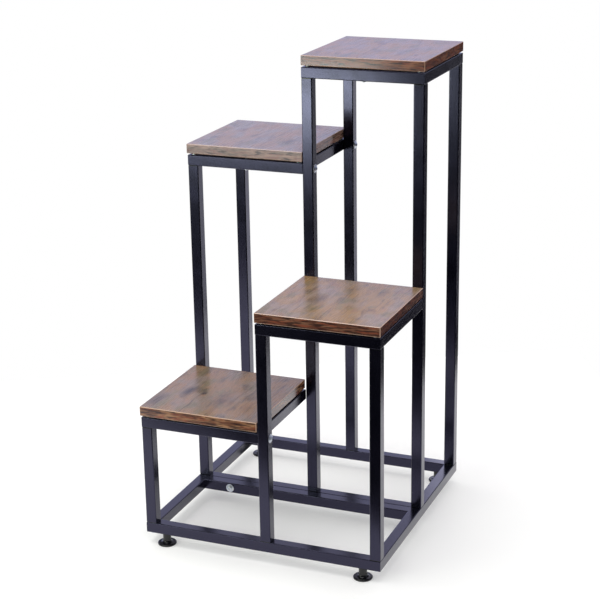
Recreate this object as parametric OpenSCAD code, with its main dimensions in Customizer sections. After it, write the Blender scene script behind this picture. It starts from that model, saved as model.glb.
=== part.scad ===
// Tiered plant stand: four square boards at four heights on a bolted frame of square
// steel tube, standing on four levelling feet.
// Millimetres, +Z up, +X to the right along the front, +Y to the back.
// The origin is on the floor, under the middle of the frame.

/* [Frame] */
// Width of the frame, left to right
frame_w = 456; // [430:1:540]
// Depth of the frame, front to back
frame_d = 456; // [430:1:540]
// Width of the left-hand towers, tiers 1 and 3
left_bay_w = 228; // [210:1:246]
// Depth of the front towers, tiers 1 and 2
front_bay_d = 228; // [210:1:246]

/* [Tiers] */
// Height of the front left board's top above the floor
tier_1_h = 271; // [240:1:320]
// Height of the front right board's top above the floor
tier_2_h = 474; // [430:1:520]
// Height of the back left board's top above the floor
tier_3_h = 704; // [660:1:750]
// Height of the back right board's top above the floor
tier_4_h = 878; // [840:1:940]

/* [Steel tube] */
// Outer side of the square tube
tube = 20; // [19:0.5:24]
// Wall of the tube
wall = 1.2; // [1:0.1:1.5]
// Outside corner radius of the tube
tube_r = 1.6; // [1.4:0.1:3]

/* [Boards] */
// Thickness of a board
board_t = 18; // [15:0.5:22]
// How far a board reaches past its ring of tubes on each free side
board_over = 0.5; // [0.2:0.1:1.5]
// Clearance between the edge of a board and a leg that stands beside it
leg_gap = 1; // [0.5:0.1:2]
// Thickness of the edge banding
band_t = 1.5; // [0.4:0.1:2]
// Width of the bevel scraped along the outer edges of the banding
band_ease = 1; // [0.3:0.1:1.2]

/* [Levelling feet] */
// Height of the frame's underside above the floor, with the feet screwed in
floor_gap = 22; // [20:0.5:30]
// Diameter of a foot where it meets the floor
foot_d = 35; // [32:1:40]
// Height of the foot's rounded rim
foot_rim_h = 4.5; // [3.5:0.1:5.5]
// Radius of the hollow fillet between a foot's flat top and its hub
foot_fillet_r = 5; // [2:0.5:5]
// Diameter of the hub of a foot
foot_hub_d = 15; // [12:0.5:16]
// Diameter of the threaded stud of a foot
stud_d = 8; // [6:0.5:9]
// Depth of the stud inside the moulded foot
stud_sunk = 12; // [8:0.5:14]
// Length of stud that stands above its nut, with the foot screwed in
stud_past = 8.5; // [6:0.5:9]
// Distance of a foot's centre from the side of the frame
foot_inset = 36; // [32:1:60]
// Across flats of the nut that a foot's stud screws into
foot_nut_af = 13; // [12:0.5:15]
// Height of that nut
foot_nut_h = 6.5; // [5:0.5:7]

/* [Bolts] */
// Diameter of the bolts
bolt_d = 6; // [5:0.5:6]
// Across flats of the welded and loose nuts
nut_af = 10; // [10:0.5:11]
// Height of those nuts
nut_h = 5; // [4:0.5:6]
// Length of bolt that shows past its nut
bolt_past = 2; // [1:0.5:4]
// Diameter of the flat head of a leg bolt
leg_head_d = 12; // [10:0.5:13]
// Height of the flat head of a leg bolt, and of the pads that level the boards with it
leg_head_h = 2.5; // [2:0.1:3]
// Length of a leg bolt inside the leg
leg_bolt_bite = 14; // [10:0.5:16]
// Diameter of the flange under the head of a tower or base bolt
flange_d = 16; // [13:0.5:16.5]
// Thickness of that flange
flange_h = 1.2; // [1:0.1:1.6]
// Diameter of the domed head on that flange
dome_d = 12; // [9:0.5:12.5]
// Height of that domed head
dome_h = 3.2; // [2.8:0.1:4]
// Across flats of the hexagon sockets in the bolt heads
socket_af = 4; // [3:0.5:5]
// Depth of those sockets
socket_depth = 1.6; // [1:0.1:1.8]
// Distance of the two base bolts from the sides of the frame
base_bolt_inset = 74; // [60:1:110]

/* [Plugs, pads and board screws] */
// Length of the threaded plug in each end of a leg
plug_l = 16; // [14:0.5:24]
// Thickness of the plug's flange, which parts the leg from the rail or ring
plug_flange = 1; // [0.5:0.1:2]
// How far that flange stays inside the faces of the tube
flange_inset = 0.3; // [0.1:0.1:0.6]
// Depth of the ribs round a plug
plug_rib = 0.8; // [0.4:0.1:1.5]
// Height of each rib of a plug
plug_rib_h = 2.4; // [1.5:0.1:3]
// Ribs round each plug
plug_ribs = 3; // [2:1:4]
// Diameter of the clear pads at the ring corners that have no leg
pad_d = 10; // [8:0.5:14]
// Radius round the top edge of a pad
pad_r = 1; // [0.5:0.1:1.5]
// Shank diameter of a board screw
screw_d = 4; // [3:0.5:5]
// Depth of a board screw in its board
screw_bite = 12; // [9:0.5:13]
// Head diameter of a board screw
screw_head_d = 8; // [7:0.5:10]
// Head height of a board screw
screw_head_h = 2.6; // [2:0.1:3]
// Width of the cross recess in a board screw
cross_w = 1; // [0.8:0.1:1.4]
// Depth of the cross recess in a board screw
cross_depth = 1.3; // [1:0.1:1.6]

/* [Clearances] */
// Added to a bolt's diameter for the holes that it passes through
bolt_clear = 0.6; // [0.4:0.1:1]
// Added to a stud's or bolt's diameter for the thread that it turns in
thread_clear = 0.15; // [0.1:0.01:0.2]
// Gap between the ribs of a plug and the inside of its tube, each side
plug_clear = 0.1; // [0.05:0.01:0.2]
// Added to a screw's diameter for its hole in the board
screw_clear = 0.1; // [0.05:0.01:0.2]
// Gap between the hub of a foot and the rail above it
hub_clear = 0.3; // [0.2:0.1:0.6]
// Gap between the stud and the moulded foot around it, each side
mould_clear = 0.04; // [0.02:0.01:0.06]
// Joint between two strips of edge banding at a corner
band_joint = 0.05; // [0.02:0.01:0.1]

/* [Hidden] */
$fn = 48;
// Reach of a cutting tool past the face that it cuts
eps = 1;
// Least corner radius inside a tube
inner_r_min = 0.3;
// Most of its strip's thickness that the bevel of the banding takes
ease_share = 0.75;

steel = "#25242c";
zinc = "#c4c6ca";
wood = "#6f5042";
edge_wood = "#8a5a3c";
black_plastic = "#121216";
clear_plastic = "#dfe6ea";

left_x = -frame_w / 2;
right_x = frame_w / 2;
mid_x = left_x + left_bay_w;
front_y = -frame_d / 2;
back_y = frame_d / 2;
mid_y = front_y + front_bay_d;

base_z = floor_gap;
base_top = base_z + tube;
ring_gap = leg_head_h;
board_shift = board_over + leg_gap;

// Centres of the legs along X and along Y
leg_left = left_x + tube / 2;
leg_mid_x = mid_x + tube / 2;
leg_right = right_x - tube / 2;
leg_front = front_y + tube / 2;
leg_mid_y = mid_y + tube / 2;
leg_back = back_y - tube / 2;

bolt_hole_d = bolt_d + bolt_clear;
thread_hole_d = bolt_d + thread_clear;
stud_hole_d = stud_d + thread_clear;
screw_hole_d = screw_d + bolt_clear;
socket_d = socket_af / cos(30);
nut_d = nut_af / cos(30);
foot_nut_d = foot_nut_af / cos(30);

leg_bolt_l = tube + leg_bolt_bite;
tower_bolt_l = tube + wall + nut_h + bolt_past;
base_bolt_l = 2 * tube + nut_h + bolt_past;
screw_l = tube + ring_gap + screw_bite;
inner_r = max(tube_r - wall, inner_r_min);
edge_ease = min(band_ease, ease_share * band_t);

// Height of each board's top; the tiers count from 1
tier_tops = [tier_1_h, tier_2_h, tier_3_h, tier_4_h];

// Plan of each tower: left, right, front and back face of its ring
tower_plans = [
    [left_x, mid_x, front_y, mid_y],
    [mid_x, right_x, front_y, mid_y],
    [left_x, mid_x, mid_y, back_y],
    [mid_x, right_x, mid_y, back_y],
];

// Plan of the front and of the rear base frame
front_base = [left_x, right_x, front_y, mid_y];
rear_base = [left_x, right_x, mid_y, back_y];

// Boards 1 and 3 shift left of a leg, and boards 1 and 2 forward of one
board_shifts = [
    [-board_shift, -board_shift],
    [0, -board_shift],
    [-board_shift, 0],
    [0, 0],
];

// Centre of each leg
legs = [
    [leg_left, leg_front],
    [leg_mid_x, leg_front],
    [leg_right, leg_front],
    [leg_left, leg_mid_y],
    [leg_mid_x, leg_mid_y],
    [leg_right, leg_mid_y],
    [leg_left, leg_back],
    [leg_mid_x, leg_back],
    [leg_right, leg_back],
];

// Each tower bolt's direction, and its place across that direction
tower_bolts = [
    ["x", leg_front],
    ["y", leg_left],
    ["y", leg_mid_x],
    ["y", leg_right],
    ["x", leg_mid_y],
    ["x", leg_back],
];

foot_left = left_x + foot_inset;
foot_right = right_x - foot_inset;
feet = [
    [foot_left, leg_front],
    [foot_right, leg_front],
    [foot_left, leg_back],
    [foot_right, leg_back],
];
base_bolts = [left_x + base_bolt_inset, right_x - base_bolt_inset];

function ring_top(tier) = tier_tops[tier - 1] - board_t - ring_gap;
function ring_bottom(tier) = ring_top(tier) - tube;
function plan(tier) = tower_plans[tier - 1];

// Plan of one tube of a rectangular frame
function rail_plan(p, side) =
    side == "front" ? [p[0], p[1], p[2], p[2] + tube] :
    side == "back" ? [p[0], p[1], p[3] - tube, p[3]] :
    side == "left" ? [p[0], p[0] + tube, p[2], p[3]] :
    [p[1] - tube, p[1], p[2], p[3]];

function inside(point, p) = point[0] > p[0] && point[0] < p[1] && point[1] > p[2] && point[1] < p[3];

// Tier of the tower that a point of the plan lies in; a leg carries the ring of its tower
function tier_at(point) = [for (tier = [1:len(tier_tops)]) if (inside(point, plan(tier))) tier][0];

// Centre of the leg that a tower bolt passes through
function bolted_leg(bolt) = bolt[0] == "x" ? [leg_mid_x, bolt[1]] : [bolt[1], leg_mid_y];

// Tier of the ring beside that leg, which the bolt ends in
function bolted_tier(bolt) =
    tier_at(bolt[0] == "x" ? [mid_x - tube / 2, bolt[1]] : [bolt[1], mid_y - tube / 2]);

// Where the two screws of a board stand: halfway along the front and back tubes of its ring
function screw_places(tier) = [
    for (y = [plan(tier)[2] + tube / 2, plan(tier)[3] - tube / 2]) [(plan(tier)[0] + plan(tier)[1]) / 2, y],
];

// Corners of a ring that no leg stands under
function free_corners(tier) = [
    for (x = [plan(tier)[0] + tube / 2, plan(tier)[1] - tube / 2])
        for (y = [plan(tier)[2] + tube / 2, plan(tier)[3] - tube / 2])
            if (len([for (l = legs) if (norm(l - [x, y]) < tube / 2) l]) == 0)
                [x, y],
];

// Square with rounded corners, one corner at the origin
module rounded_square(side, r) {
    translate([r, 0]) square([side - 2 * r, side]);
    translate([0, r]) square([side, side - 2 * r]);
    for (x = [r, side - r])
        for (y = [r, side - r])
            translate([x, y]) circle(r = r);
}

// Cross-section of the tube, one corner at the origin
module tube_section() {
    difference() {
        rounded_square(tube, tube_r);
        translate([wall, wall]) rounded_square(tube - 2 * wall, inner_r);
    }
}

// Tube of length l along +X with its outer face on y = 0 and both ends mitred
module mitred_tube(l) {
    intersection() {
        rotate([90, 0, 90]) linear_extrude(l) tube_section();
        translate([0, 0, -eps])
            linear_extrude(tube + 2 * eps)
            polygon([[-eps, -eps], [l + eps, -eps], [l - tube - eps, tube + eps], [tube + eps, tube + eps]]);
    }
}

// One tube of a rectangular frame with plan p, standing on z = 0
module frame_tube(p, side) {
    w = p[1] - p[0];
    d = p[3] - p[2];
    if (side == "front") translate([p[0], p[2], 0]) mitred_tube(w);
    if (side == "back") translate([p[1], p[3], 0]) rotate([0, 0, 180]) mitred_tube(w);
    if (side == "left") translate([p[0], p[3], 0]) rotate([0, 0, -90]) mitred_tube(d);
    if (side == "right") translate([p[1], p[2], 0]) rotate([0, 0, 90]) mitred_tube(d);
}

// Places its children on the axis of a tower bolt: the head seats on z = 0, the shank goes up +Z
module at_tower_bolt(bolt) {
    z = ring_top(bolted_tier(bolt)) - tube / 2;
    if (bolt[0] == "x") translate([mid_x + tube, bolt[1], z]) rotate([0, -90, 0]) children();
    if (bolt[0] == "y") translate([bolt[1], mid_y + tube, z]) rotate([90, 0, 0]) children();
}

// The same for the bolts that join the two base frames, whose heads are at the front
module at_base_bolt(x) {
    translate([x, mid_y - tube, base_z + tube / 2]) rotate([-90, 0, 0]) children();
}

// Upright hole through both walls of a tube that stands on height z
module upright_hole(point, z, d) {
    translate([point[0], point[1], z - eps]) cylinder(d = d, h = tube + 2 * eps);
}

// Tube of a base frame with its holes for leg bolts, studs and base bolts
module base_rail(p, side) {
    here = rail_plan(p, side);
    color(steel)
    difference() {
        translate([0, 0, base_z]) frame_tube(p, side);
        for (l = legs)
            if (inside(l, here)) upright_hole(l, base_z, bolt_hole_d);
        for (f = feet)
            if (inside(f, here))
                translate([f[0], f[1], base_z - eps]) cylinder(d = stud_hole_d, h = wall + 2 * eps);
        for (x = base_bolts)
            if (inside([x, mid_y - tube / 2], here) || inside([x, mid_y + tube / 2], here))
                at_base_bolt(x) translate([0, 0, -eps]) cylinder(d = bolt_hole_d, h = 2 * tube + 2 * eps);
    }
}

// Tube of the ring under a board with its holes for leg bolts, board screws and tower bolts
module ring_rail(tier, side) {
    here = rail_plan(plan(tier), side);
    color(steel)
    difference() {
        translate([0, 0, ring_bottom(tier)]) frame_tube(plan(tier), side);
        for (l = legs)
            if (inside(l, here)) upright_hole(l, ring_bottom(tier), bolt_hole_d);
        for (s = screw_places(tier))
            if (inside(s, here)) upright_hole(s, ring_bottom(tier), screw_hole_d);
        for (b = tower_bolts)
            if (bolted_tier(b) == tier && side == (b[0] == "x" ? "right" : "back"))
                at_tower_bolt(b) translate([0, 0, tube - eps]) cylinder(d = bolt_hole_d, h = wall + 2 * eps);
    }
}

// Leg between its two plug flanges, from the base up to the ring that it carries
module leg(i) {
    l = legs[i];
    here = [l[0] - tube / 2, l[0] + tube / 2, l[1] - tube / 2, l[1] + tube / 2];
    color(steel)
    difference() {
        translate([here[0], here[2], base_top + plug_flange])
            linear_extrude(ring_bottom(tier_at(l)) - base_top - 2 * plug_flange) tube_section();
        for (b = tower_bolts)
            if (inside(bolted_leg(b), here))
                at_tower_bolt(b) translate([0, 0, -eps]) cylinder(d = bolt_hole_d, h = tube + 2 * eps);
    }
}

// Core of a board, drilled from below for its two screws
module board(tier) {
    p = plan(tier);
    shift = board_shifts[tier - 1];
    over = board_over - band_t;
    color(wood)
    difference() {
        translate([p[0] - over + shift[0], p[2] - over + shift[1], tier_tops[tier - 1] - board_t])
            cube([p[1] - p[0] + 2 * over, p[3] - p[2] + 2 * over, board_t]);
        for (s = screw_places(tier))
            translate([s[0], s[1], tier_tops[tier - 1] - board_t - eps])
                cylinder(d = screw_d + screw_clear, h = screw_bite + 2 * eps);
    }
}

// Rectangle from the origin with its four corners cut off at 45 degrees
module bevelled_rectangle(w, d) {
    e = edge_ease;
    polygon([[e, 0], [w - e, 0], [w, e], [w, d - e], [w - e, d], [e, d], [0, d - e], [0, e]]);
}

// Block from the origin with all its edges bevelled
module bevelled_block(w, d, h) {
    intersection() {
        linear_extrude(h) bevelled_rectangle(w, d);
        rotate([90, 0, 90]) linear_extrude(w) bevelled_rectangle(d, h);
        translate([0, d, 0]) rotate([90, 0, 0]) linear_extrude(d) bevelled_rectangle(w, h);
    }
}

// Edge banding of a board: long strips at the front and back, shorter ones between them
module edge_band(tier) {
    p = plan(tier);
    shift = board_shifts[tier - 1];
    w = p[1] - p[0] + 2 * board_over;
    d = p[3] - p[2] + 2 * board_over;
    color(edge_wood)
    translate([p[0] - board_over + shift[0], p[2] - board_over + shift[1], tier_tops[tier - 1] - board_t])
        intersection() {
            bevelled_block(w, d, board_t);
            union() {
                for (y = [0, d - band_t]) translate([0, y, 0]) cube([w, band_t, board_t]);
                for (x = [0, w - band_t])
                    translate([x, band_t + band_joint, 0])
                        cube([band_t, d - 2 * (band_t + band_joint), board_t]);
            }
        }
}

// Half outline of the moulded foot: a rounded rim, a flat top, a hollow fillet and a round hub
module foot_outline() {
    rim_r = foot_rim_h / 2;
    hub_r = foot_hub_d / 2;
    fillet_end = hub_r + foot_fillet_r;
    fillet_top = foot_rim_h + foot_fillet_r;
    square([foot_d / 2 - rim_r, foot_rim_h]);
    translate([foot_d / 2 - rim_r, rim_r]) circle(r = rim_r);
    difference() {
        square([fillet_end, fillet_top]);
        translate([fillet_end, fillet_top]) circle(r = foot_fillet_r);
    }
    square([hub_r, base_z - hub_clear]);
}

// Moulded foot with the socket that holds its stud
module foot(i) {
    sink_z = base_z - hub_clear - stud_sunk;
    color(black_plastic)
    translate([feet[i][0], feet[i][1], 0])
    difference() {
        rotate_extrude() foot_outline();
        translate([0, 0, sink_z]) cylinder(d = stud_d + 2 * mould_clear, h = stud_sunk + eps);
    }
}

// Stud that is moulded into a foot and screws into the base
module stud(i) {
    sink_z = base_z - hub_clear - stud_sunk;
    color(zinc)
    translate([feet[i][0], feet[i][1], sink_z])
        cylinder(d = stud_d, h = base_z + wall + foot_nut_h + stud_past - sink_z);
}

// Hexagon nut standing on z = 0
module hex_nut(d, h, hole_d) {
    difference() {
        cylinder(d = d, h = h, $fn = 6);
        translate([0, 0, -eps]) cylinder(d = hole_d, h = h + 2 * eps);
    }
}

// Nuts welded inside the base rails for the studs of the feet
module foot_nuts() {
    color(zinc)
    for (f = feet)
        translate([f[0], f[1], base_z + wall]) hex_nut(foot_nut_d, foot_nut_h, stud_hole_d);
}

// Square plate with rounded corners round the Z axis, from z to z + h
module plate(side, r, z, h) {
    translate([-side / 2, -side / 2, z]) linear_extrude(h) rounded_square(side, r);
}

// Flanged and ribbed plug that is pressed into the end of a leg, with its outer face on z = 0
module leg_plug() {
    flange_side = tube - 2 * flange_inset;
    rib_side = tube - 2 * wall - 2 * plug_clear;
    rib_pitch = (plug_l - plug_flange - plug_rib_h) / (plug_ribs - 1);
    difference() {
        union() {
            plate(flange_side, tube_r - flange_inset, 0, plug_flange);
            plate(rib_side - 2 * plug_rib, inner_r, 0, plug_l);
            for (i = [0:plug_ribs - 1])
                plate(rib_side, inner_r, plug_flange + i * rib_pitch, plug_rib_h);
        }
        translate([0, 0, -eps]) cylinder(d = thread_hole_d, h = plug_l + 2 * eps);
    }
}

// Plugs at the bottom and at the top of every leg
module leg_plugs() {
    color(black_plastic)
    for (l = legs) {
        translate([l[0], l[1], base_top]) leg_plug();
        translate([l[0], l[1], ring_bottom(tier_at(l))]) mirror([0, 0, 1]) leg_plug();
    }
}

// Bolt with a flat head below z = 0 and its shank up +Z
module flat_bolt(l) {
    difference() {
        union() {
            translate([0, 0, -leg_head_h]) cylinder(d = leg_head_d, h = leg_head_h);
            cylinder(d = bolt_d, h = l);
        }
        translate([0, 0, -leg_head_h - eps]) cylinder(d = socket_d, h = socket_depth + eps, $fn = 6);
    }
}

// Bolts through the base and through the rings into the legs
module leg_bolts() {
    color(zinc)
    for (l = legs) {
        translate([l[0], l[1], base_z]) flat_bolt(leg_bolt_l);
        translate([l[0], l[1], ring_top(tier_at(l))]) mirror([0, 0, 1]) flat_bolt(leg_bolt_l);
    }
}

// Bolt with a flange and a domed head below z = 0 and its shank up +Z
module flange_bolt(l) {
    dome_r = (dome_d * dome_d / 4 + dome_h * dome_h) / (2 * dome_h);
    top = -flange_h - dome_h;
    difference() {
        union() {
            translate([0, 0, -flange_h]) cylinder(d = flange_d, h = flange_h);
            rotate_extrude()
                intersection() {
                    translate([0, top + dome_r]) circle(r = dome_r);
                    translate([0, top]) square([dome_d / 2, dome_h + flange_h / 2]);
                }
            cylinder(d = bolt_d, h = l);
        }
        translate([0, 0, top - eps]) cylinder(d = socket_d, h = socket_depth + eps, $fn = 6);
    }
}

// Bolts that hold the three lower rings to the legs beside them
module tower_bolt_set() {
    color(zinc)
    for (b = tower_bolts) at_tower_bolt(b) flange_bolt(tower_bolt_l);
}

// Nuts welded inside those rings
module tower_nuts() {
    color(zinc)
    for (b = tower_bolts)
        at_tower_bolt(b) translate([0, 0, tube + wall]) hex_nut(nut_d, nut_h, thread_hole_d);
}

// Bolts that join the two base frames
module base_bolt_set() {
    color(zinc)
    for (x = base_bolts) at_base_bolt(x) flange_bolt(base_bolt_l);
}

// Loose nuts on those bolts, on the back of the double rail
module base_nuts() {
    color(zinc)
    for (x = base_bolts)
        at_base_bolt(x) translate([0, 0, 2 * tube]) hex_nut(nut_d, nut_h, thread_hole_d);
}

// Screws up through the rings into the boards
module board_screws() {
    color(zinc)
    for (tier = [1:len(tier_tops)])
        for (s = screw_places(tier))
            translate([s[0], s[1], ring_bottom(tier)])
            difference() {
                union() {
                    translate([0, 0, -screw_head_h]) cylinder(d = screw_head_d, h = screw_head_h);
                    cylinder(d = screw_d, h = screw_l);
                }
                for (turn = [0, 90])
                    rotate([0, 0, turn])
                        translate([-screw_d / 2, -cross_w / 2, -screw_head_h - eps])
                        cube([screw_d, cross_w, cross_depth + eps]);
            }
}

// Clear pads between a ring and its board, at the corners that have no leg bolt
module corner_pads() {
    color(clear_plastic)
    for (tier = [1:len(tier_tops)])
        for (c = free_corners(tier))
            translate([c[0], c[1], ring_top(tier)])
            rotate_extrude() {
                square([pad_d / 2, ring_gap - pad_r]);
                square([pad_d / 2 - pad_r, ring_gap]);
                translate([pad_d / 2 - pad_r, ring_gap - pad_r]) circle(r = pad_r);
            }
}

base_rail(front_base, "front");  // front_base_front_rail
base_rail(front_base, "back");  // front_base_back_rail
base_rail(front_base, "left");  // front_base_left_rail
base_rail(front_base, "right");  // front_base_right_rail
base_rail(rear_base, "front");  // rear_base_front_rail
base_rail(rear_base, "back");  // rear_base_back_rail
base_rail(rear_base, "left");  // rear_base_left_rail
base_rail(rear_base, "right");  // rear_base_right_rail
leg(0);  // leg_front_left
leg(1);  // leg_front_middle
leg(2);  // leg_front_right
leg(3);  // leg_middle_left
leg(4);  // leg_centre
leg(5);  // leg_middle_right
leg(6);  // leg_back_left
leg(7);  // leg_back_middle
leg(8);  // leg_back_right
ring_rail(1, "front");  // tier_1_front_rail
ring_rail(1, "back");  // tier_1_back_rail
ring_rail(1, "left");  // tier_1_left_rail
ring_rail(1, "right");  // tier_1_right_rail
ring_rail(2, "front");  // tier_2_front_rail
ring_rail(2, "back");  // tier_2_back_rail
ring_rail(2, "left");  // tier_2_left_rail
ring_rail(2, "right");  // tier_2_right_rail
ring_rail(3, "front");  // tier_3_front_rail
ring_rail(3, "back");  // tier_3_back_rail
ring_rail(3, "left");  // tier_3_left_rail
ring_rail(3, "right");  // tier_3_right_rail
ring_rail(4, "front");  // tier_4_front_rail
ring_rail(4, "back");  // tier_4_back_rail
ring_rail(4, "left");  // tier_4_left_rail
ring_rail(4, "right");  // tier_4_right_rail
board(1);  // tier_1_board
board(2);  // tier_2_board
board(3);  // tier_3_board
board(4);  // tier_4_board
edge_band(1);  // tier_1_edge_band
edge_band(2);  // tier_2_edge_band
edge_band(3);  // tier_3_edge_band
edge_band(4);  // tier_4_edge_band
foot(0);  // foot_front_left
foot(1);  // foot_front_right
foot(2);  // foot_back_left
foot(3);  // foot_back_right
stud(0);  // stud_front_left
stud(1);  // stud_front_right
stud(2);  // stud_back_left
stud(3);  // stud_back_right
foot_nuts();
leg_plugs();
leg_bolts();
tower_bolt_set();  // tower_bolts
tower_nuts();
base_bolt_set();  // base_bolts
base_nuts();
board_screws();
corner_pads();
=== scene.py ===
"""Looks of a tiered plant stand: black steel tube, rustic boards, bolts and levelling feet.

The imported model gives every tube, board, strip and foot its place and its shape. Here they get
their finishes, and the bolts, nuts, screws and studs are modelled anew with threads, sockets and
chamfers. Everything is in metres, apart from values whose name ends in _mm, the patterns' sizes,
and the seams and knots of the print.
"""

import logging
import math
from collections.abc import Iterable, Sequence
from dataclasses import dataclass
from enum import Enum

import bpy
from mathutils import Matrix, Vector


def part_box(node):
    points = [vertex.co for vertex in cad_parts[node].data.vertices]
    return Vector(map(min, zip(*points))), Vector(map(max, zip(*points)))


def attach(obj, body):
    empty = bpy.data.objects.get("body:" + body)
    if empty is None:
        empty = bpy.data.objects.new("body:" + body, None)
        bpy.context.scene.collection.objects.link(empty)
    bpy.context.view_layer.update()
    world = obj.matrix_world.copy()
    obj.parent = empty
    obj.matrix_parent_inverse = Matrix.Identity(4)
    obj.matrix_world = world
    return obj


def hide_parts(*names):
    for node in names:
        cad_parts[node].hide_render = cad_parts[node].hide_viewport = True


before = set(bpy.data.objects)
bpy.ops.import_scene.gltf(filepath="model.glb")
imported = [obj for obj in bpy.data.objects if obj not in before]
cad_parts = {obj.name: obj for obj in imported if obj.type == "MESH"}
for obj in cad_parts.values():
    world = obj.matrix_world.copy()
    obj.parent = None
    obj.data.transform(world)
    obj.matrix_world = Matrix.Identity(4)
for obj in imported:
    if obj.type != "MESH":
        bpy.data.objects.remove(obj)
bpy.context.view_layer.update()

IMAGE_SIDE_PX = 600
SENSOR_MM = 36.0
MM = 0.001
WELD_DISTANCE = 0.002 * MM
SHARP_DEG = 32.0

# A face whose normal is lower than this looks down.
DOWNWARD = -0.5

# A thread's depth and the chamfers of its ends, as shares of its pitch, the facets in a turn, and
# how far the blank that cuts its ends stands clear of its crests.
THREAD_DEPTH = 0.6
THREAD_CHAMFER = 0.7
THREAD_FACETS = 24
THREAD_CLEAR = 0.2 * MM

SIDES = ("front", "back", "left", "right")
TIERS = (1, 2, 3, 4)
LEGS = (
    *("leg_front_left", "leg_front_middle", "leg_front_right"),
    *("leg_middle_left", "leg_centre", "leg_middle_right"),
    *("leg_back_left", "leg_back_middle", "leg_back_right"),
)

log = logging.getLogger("plant_stand")

Socket = bpy.types.NodeSocket
Tree = bpy.types.NodeTree
Material = bpy.types.Material
Piece = bpy.types.Object
Value = float | tuple[float, ...] | Socket
Inputs = dict[str | int, Value]
Point = tuple[float, float]
Fixed = tuple[tuple[str, Value], ...]


class Body(Enum):
    """The moving bodies of the stand."""

    FRAME = "frame"
    FRONT_LEFT = "foot_front_left"
    FRONT_RIGHT = "foot_front_right"
    BACK_LEFT = "foot_back_left"
    BACK_RIGHT = "foot_back_right"


FEET = tuple(body for body in Body if body is not Body.FRAME)


class Carve(Enum):
    """Ways in which a tool shape changes a piece."""

    AWAY = "DIFFERENCE"
    KEEP_COMMON = "INTERSECT"
    WELD_ON = "UNION"


class Facing(Enum):
    """Ways that the head of a bolt can look, as a turn of a bolt whose head looks down."""

    DOWN = Matrix.Identity(4)
    UP = Matrix.Rotation(math.pi, 4, "X")
    FRONT = Matrix.Rotation(-math.pi / 2, 4, "X")
    BACK = Matrix.Rotation(math.pi / 2, 4, "X")
    RIGHT = Matrix.Rotation(-math.pi / 2, 4, "Y")


def linear(colour: str) -> tuple[float, float, float, float]:
    """Turns an sRGB hex colour into linear red, green, blue and alpha.

    Args:
        colour: Colour as #rrggbb.

    Returns:
        The linear colour with an alpha of 1.
    """
    shares = [int(colour[i : i + 2], 16) / 255 for i in (1, 3, 5)]
    bent = [s / 12.92 if s <= 0.04045 else ((s + 0.055) / 1.055) ** 2.4 for s in shares]
    return (bent[0], bent[1], bent[2], 1.0)


def per_metre(size_mm: float) -> float:
    """Pattern scale whose features measure about size_mm millimetres."""
    return 1 / (size_mm * MM)


def add_node(
    tree: Tree, kind: str, inputs: Inputs | None = None, **settings: object
) -> bpy.types.Node:
    """Adds a node with its settings, and links or sets its inputs.

    Args:
        tree: Nodes of a material or of the world.
        kind: Name of the node's type.
        inputs: A value, or another node's output, for each input by its name or number.
        **settings: Properties of the node itself.

    Returns:
        The new node.
    """
    node = tree.nodes.new(kind)
    for name, setting in settings.items():
        setattr(node, name, setting)
    for key, value in (inputs or {}).items():
        if isinstance(value, Socket):
            tree.links.new(value, node.inputs[key])
        else:
            node.inputs[key].default_value = value
    return node


@dataclass(frozen=True)
class Span:
    """Values of a pattern between which a colour comes in, and the colour's share at the end."""

    start: float
    full: float
    share: float = 1.0


MASK = Span(0.0, 1.0)
Mark = tuple[Socket, Span, str]


def tint(tree: Tree, pattern: Socket, span: Span, under: Value, over: Value) -> Socket:
    """Lays one colour over another by a pattern.

    Args:
        tree: Nodes of a material or of the world.
        pattern: What decides where the upper colour shows.
        span: Values of the pattern over which it comes in.
        under: The lower colour.
        over: The upper colour.

    Returns:
        The mixed colour.
    """
    share = add_node(
        tree,
        "ShaderNodeMapRange",
        {"Value": pattern, "From Min": span.start, "From Max": span.full, "To Max": span.share},
        interpolation_type="SMOOTHSTEP",
    )
    colours = {0: share.outputs["Result"], 6: under, 7: over}
    return add_node(tree, "ShaderNodeMix", colours, data_type="RGBA").outputs[2]


@dataclass(frozen=True)
class Grain:
    """Stretched noise, with the size of its features along each axis in millimetres."""

    x: float
    y: float
    z: float
    detail: float
    seed: float

    def draw(self, tree: Tree, place: Socket) -> Socket:
        """Adds the noise to a material.

        Args:
            tree: Nodes of the material.
            place: Where the noise is read.

        Returns:
            The noise, from 0 to 1 and mostly near the middle.
        """
        spread = add_node(
            tree,
            "ShaderNodeMapping",
            {
                "Vector": place,
                "Location": (self.seed, self.seed * 2, self.seed * 3),
                "Scale": (per_metre(self.x), per_metre(self.y), per_metre(self.z)),
            },
        )
        inputs = {"Vector": spread.outputs["Vector"], "Scale": 1.0, "Detail": self.detail}
        return add_node(tree, "ShaderNodeTexNoise", inputs).outputs["Fac"]


@dataclass(frozen=True)
class Ink:
    """A printed or sprayed colour, the noise that it follows, and where it comes in."""

    colour: str
    grain: Grain
    span: Span


@dataclass(frozen=True)
class Gloss:
    """Roughness where a pattern is low and where it is high, and the pattern's values there."""

    smooth: float
    dull: float
    low: float = 0.0
    high: float = 1.0


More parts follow.
